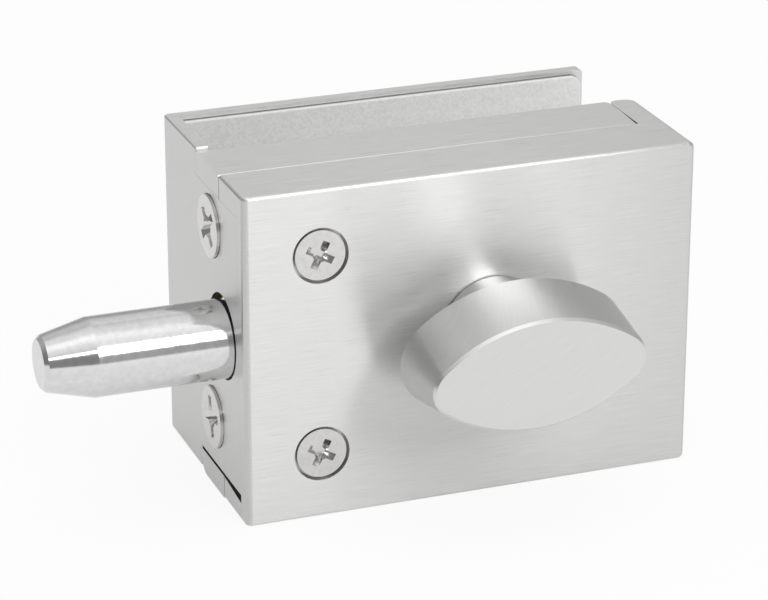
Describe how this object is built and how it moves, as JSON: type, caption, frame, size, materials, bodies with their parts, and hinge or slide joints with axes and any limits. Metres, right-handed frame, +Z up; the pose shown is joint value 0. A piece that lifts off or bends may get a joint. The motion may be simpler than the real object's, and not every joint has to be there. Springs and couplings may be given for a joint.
{
  "type": "glass door bolt",
  "caption": "Clamp-on bolt for a frameless glass door: boxed steel case with a slot for the glass edge, a lens-shaped thumbturn and a round bolt with a tapered nose.",
  "frame": {"origin": "centre of the underside of the lock's box, on the surface it stands on", "axes": "+X along the bolt from its nose into the case, +Y from the thumbturn's side to the back plate, +Z up"},
  "size_m": [0.0976, 0.0568, 0.0515],
  "materials": {
    "satin_steel": "satin brushed along the case's length",
    "satin_steel_turn": "fine satin",
    "chrome": "bright chrome",
    "screw_steel": "bright nickel",
    "grey_rubber": "matt sheet",
    "zinc_steel": "zinc plated",
    "black_steel": "black oxide",
    "brass": "plain turned"
  },
  "bodies": {
    "case": {"front_cover": "satin_steel", "lock_body": "satin_steel", "clamp_bracket": "satin_steel", "bracket_pad": "grey_rubber", "cover_screw_upper": "screw_steel", "cover_screw_lower": "screw_steel", "end_screw_upper": "screw_steel", "end_screw_lower": "screw_steel", "bolt_guide": "brass", "spindle_bush": "brass"},
    "turn": {"thumbturn": "satin_steel_turn", "pinion": "zinc_steel", "spring_washer": "black_steel", "retaining_ring": "black_steel"},
    "bolt": {"bolt_pin": "chrome", "rack_tail": "zinc_steel", "tail_pin_upper": "zinc_steel", "tail_pin_lower": "zinc_steel"},
    "clamp": {"pressure_plate": "zinc_steel", "pressure_pad": "grey_rubber", "grub_screw_upper": "black_steel", "grub_screw_lower": "black_steel"}
  },
  "joints": [
    {"name": "knob_turn", "type": "hinge", "parent": "case", "child": "turn", "pos_m": [0.017, 0, 0.02605], "axis": [0, -1, 0], "range_deg": [0, 180]},
    {"name": "bolt_throw", "type": "slide", "parent": "case", "child": "bolt", "axis": [1, 0, 0], "range_m": [0, 0.022]},
    {"name": "clamp_close", "type": "slide", "parent": "case", "child": "clamp", "axis": [0, 1, 0], "range_m": [0, 0.0023]}
  ],
  "couplings": [
    {"joint": "bolt_throw", "follows": "knob_turn", "m_per_rad": 0.007}
  ]
}
